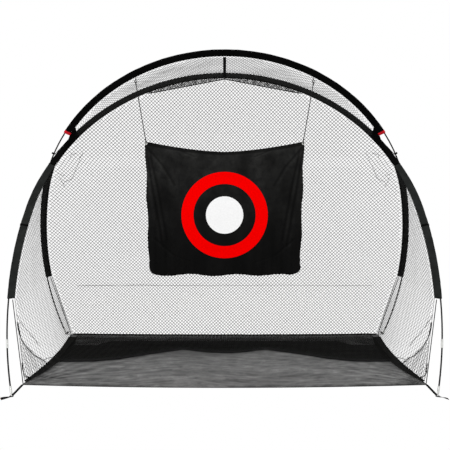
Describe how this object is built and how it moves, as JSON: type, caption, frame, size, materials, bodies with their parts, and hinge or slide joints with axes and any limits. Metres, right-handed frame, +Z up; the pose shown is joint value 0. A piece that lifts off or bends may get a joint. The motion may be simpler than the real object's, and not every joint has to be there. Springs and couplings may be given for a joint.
{
  "type": "golf practice net",
  "caption": "Free-standing golf practice net: two crossed arches, black netting, a floor sheet and a cloth bull's-eye target that hangs from the front arch on cords.",
  "frame": {"origin": "on the ground, midway between the left and right feet and midway between the front and rear feet", "axes": "+Z up, -Y towards the open mouth, where the player stands, +X to the player's right"},
  "size_m": [2.7302, 1.6428, 2.112],
  "materials": {
    "rod_black": "smooth black fibreglass",
    "ferrule_metal": "drawn metal tube",
    "tip_metal": "drawn metal tube with a pin",
    "sleeve_black": "woven nylon, slight sheen",
    "side_sleeve_grey": "woven nylon, slight sheen",
    "binding_red": "sewn edge tape",
    "gusset_black": "woven nylon",
    "netting_black": "knotted thread",
    "webbing_black": "woven webbing",
    "cord_black": "braided cord",
    "floor_grey": "wrinkled coated nylon with a sheen",
    "eyelet_dark": "dark coated metal",
    "target_black": "woven nylon with folds",
    "ring_red": "printed flat red",
    "disc_white": "printed flat white",
    "eyelet_grey": "rolled metal"
  },
  "bodies": {
    "frame": {"front_arch_crown_rod": "rod_black", "front_arch_shoulder_rod_left": "rod_black", "front_arch_shoulder_rod_right": "rod_black", "front_arch_leg_rod_left": "rod_black", "front_arch_leg_rod_right": "rod_black", "front_arch_ferrules": "ferrule_metal", "rear_arch_crown_rod": "rod_black", "rear_arch_shoulder_rod_left": "rod_black", "rear_arch_shoulder_rod_right": "rod_black", "rear_arch_leg_rod_left": "rod_black", "rear_arch_leg_rod_right": "rod_black", "rear_arch_foot_rod_left": "rod_black", "rear_arch_foot_rod_right": "rod_black", "rear_arch_ferrules": "ferrule_metal", "front_foot_tips": "tip_metal", "rear_foot_tips": "tip_metal", "front_arch_sleeve": "sleeve_black", "front_arch_side_sleeve_left": "sleeve_black", "front_arch_side_sleeve_right": "sleeve_black", "rear_arch_sleeve": "sleeve_black", "rear_arch_side_sleeve_left": "side_sleeve_grey", "rear_arch_side_sleeve_right": "side_sleeve_grey", "sleeve_binding_left": "binding_red", "sleeve_binding_right": "binding_red", "crossing_tie_left": "cord_black", "crossing_tie_right": "cord_black", "crossing_gusset_left": "gusset_black", "crossing_gusset_right": "gusset_black", "roof_net": "netting_black", "back_net": "netting_black", "side_net_left": "netting_black", "side_net_right": "netting_black", "front_edge_cord_left": "cord_black", "front_edge_cord_right": "cord_black", "rear_edge_cord_left": "cord_black", "rear_edge_cord_right": "cord_black", "rear_hem_rope": "cord_black", "roof_seam_cord": "cord_black", "apex_strap": "webbing_black", "floor_sheet": "floor_grey", "net_apron": "netting_black", "front_corner_strap_left": "webbing_black", "front_corner_strap_right": "webbing_black", "rear_corner_strap_left": "webbing_black", "rear_corner_strap_right": "webbing_black", "corner_eyelets": "eyelet_dark", "hanging_tab_left": "cord_black", "hanging_tab_right": "cord_black"},
    "hanging_cords": {"target_cord_left": "cord_black", "target_cord_right": "cord_black"},
    "target": {"target_sheet": "target_black", "target_ring": "ring_red", "target_disc": "disc_white", "target_eyelets": "eyelet_grey"}
  },
  "joints": [
    {"name": "cord_swing", "type": "hinge", "parent": "frame", "child": "hanging_cords", "pos_m": [0, -0.14058, 1.9], "axis": [1, 0, 0], "range_deg": [-20, 20]},
    {"name": "target_swing", "type": "hinge", "parent": "hanging_cords", "child": "target", "pos_m": [0, -0.14058, 1.502], "axis": [1, 0, 0], "range_deg": [-10, 10]}
  ]
}
